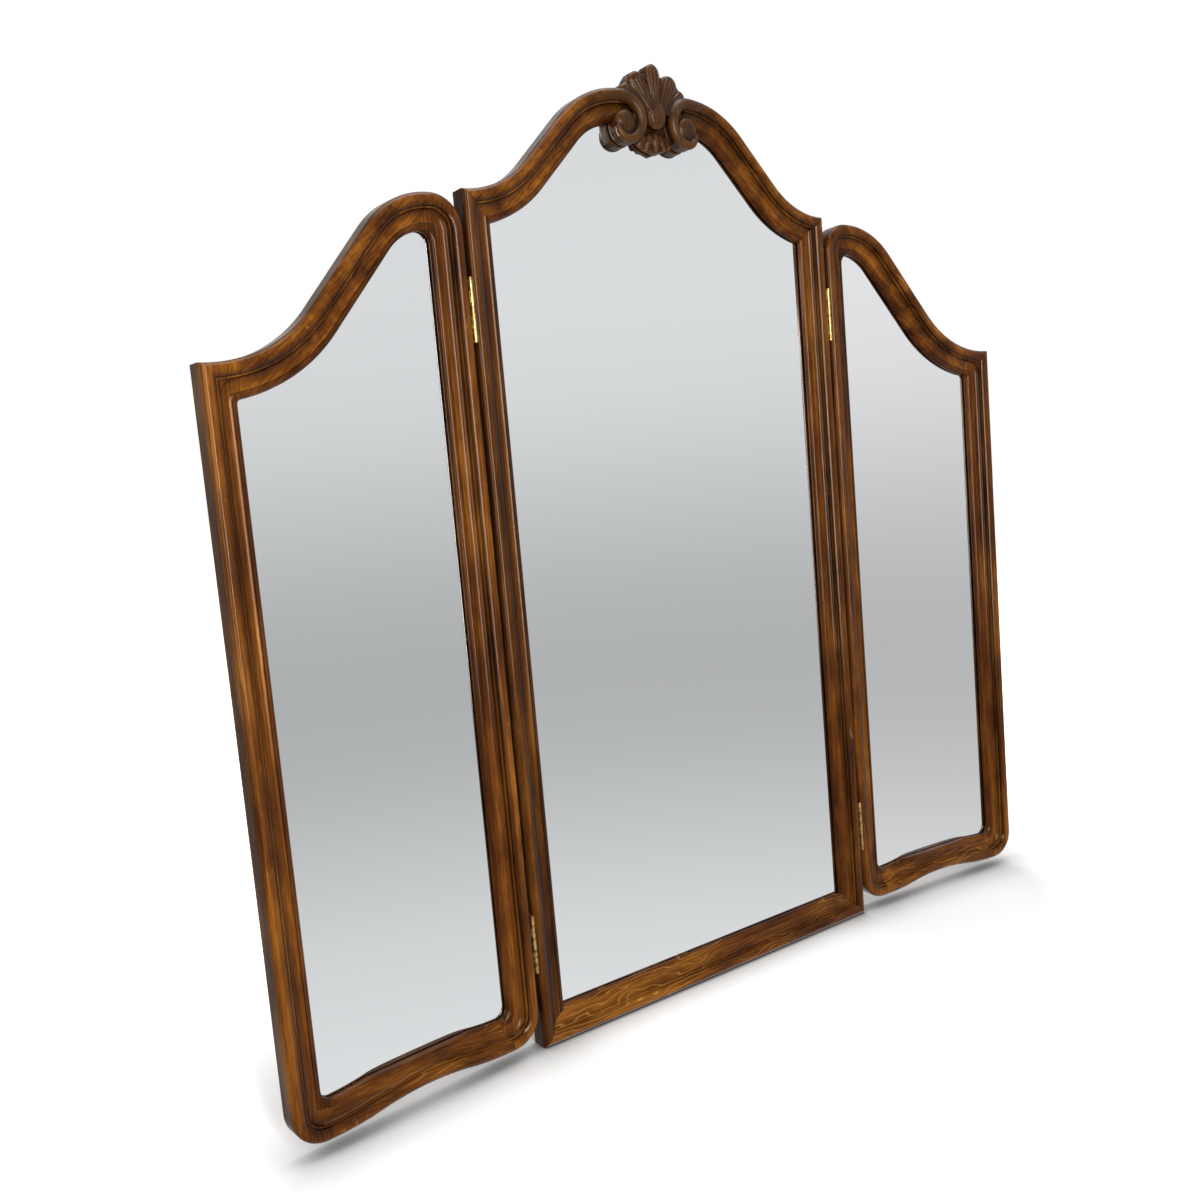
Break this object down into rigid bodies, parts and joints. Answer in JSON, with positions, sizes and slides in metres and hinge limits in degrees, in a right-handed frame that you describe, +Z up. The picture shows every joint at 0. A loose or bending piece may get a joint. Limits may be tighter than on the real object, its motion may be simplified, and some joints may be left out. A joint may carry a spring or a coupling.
{
  "type": "triptych vanity mirror",
  "caption": "Arched dressing-table mirror with a carved shell crest and two hinged side mirrors with shaped tops and waved bottoms.",
  "frame": {"origin": "on the underside of the centre frame's bottom rail, in the middle of its width and of its thickness", "axes": "+X to the right as the mirror is looked into, +Y to the back, +Z up"},
  "size_m": [1.2018, 0.053, 1.172],
  "materials": {
    "moulded_wood": "stained and waxed pine",
    "carved_wood": "stained and waxed, dark in the hollows",
    "mirror": "silvered glass",
    "backing_board": "plain hardboard",
    "brass": "aged",
    "steel": "zinc plated",
    "dowel_wood": "bare beech"
  },
  "bodies": {
    "centre": {"left_stile": "moulded_wood", "right_stile": "moulded_wood", "left_arch_rail": "moulded_wood", "right_arch_rail": "moulded_wood", "bottom_rail": "moulded_wood", "carved_crest": "carved_wood", "centre_mirror_glass": "mirror", "centre_backing_board": "backing_board", "centre_board_screws": "steel", "centre_dowels": "dowel_wood", "left_keyhole_hanger": "steel", "right_keyhole_hanger": "steel", "keyhole_hanger_screws": "steel", "left_upper_hinge_frame_leaf": "brass", "left_lower_hinge_frame_leaf": "brass", "right_upper_hinge_frame_leaf": "brass", "right_lower_hinge_frame_leaf": "brass", "left_upper_hinge_pin": "brass", "left_lower_hinge_pin": "brass", "right_upper_hinge_pin": "brass", "right_lower_hinge_pin": "brass", "left_frame_hinge_screws": "brass", "right_frame_hinge_screws": "brass"},
    "left_wing": {"left_wing_inner_stile": "moulded_wood", "left_wing_outer_stile": "moulded_wood", "left_wing_top_rail": "moulded_wood", "left_wing_bottom_rail": "moulded_wood", "left_wing_mirror_glass": "mirror", "left_wing_backing_board": "backing_board", "left_wing_board_screws": "steel", "left_wing_dowels": "dowel_wood", "left_upper_hinge_wing_leaf": "brass", "left_lower_hinge_wing_leaf": "brass", "left_wing_hinge_screws": "brass"},
    "right_wing": {"right_wing_inner_stile": "moulded_wood", "right_wing_outer_stile": "moulded_wood", "right_wing_top_rail": "moulded_wood", "right_wing_bottom_rail": "moulded_wood", "right_wing_mirror_glass": "mirror", "right_wing_backing_board": "backing_board", "right_wing_board_screws": "steel", "right_wing_dowels": "dowel_wood", "right_upper_hinge_wing_leaf": "brass", "right_lower_hinge_wing_leaf": "brass", "right_wing_hinge_screws": "brass"}
  },
  "joints": [
    {"name": "left_wing_hinge", "type": "hinge", "parent": "centre", "child": "left_wing", "pos_m": [-0.2835, -0.011, 0.502], "axis": [0, 0, 1], "range_deg": [-5, 135]},
    {"name": "right_wing_hinge", "type": "hinge", "parent": "centre", "child": "right_wing", "pos_m": [0.2835, -0.011, 0.502], "axis": [0, 0, -1], "range_deg": [-5, 135]}
  ]
}
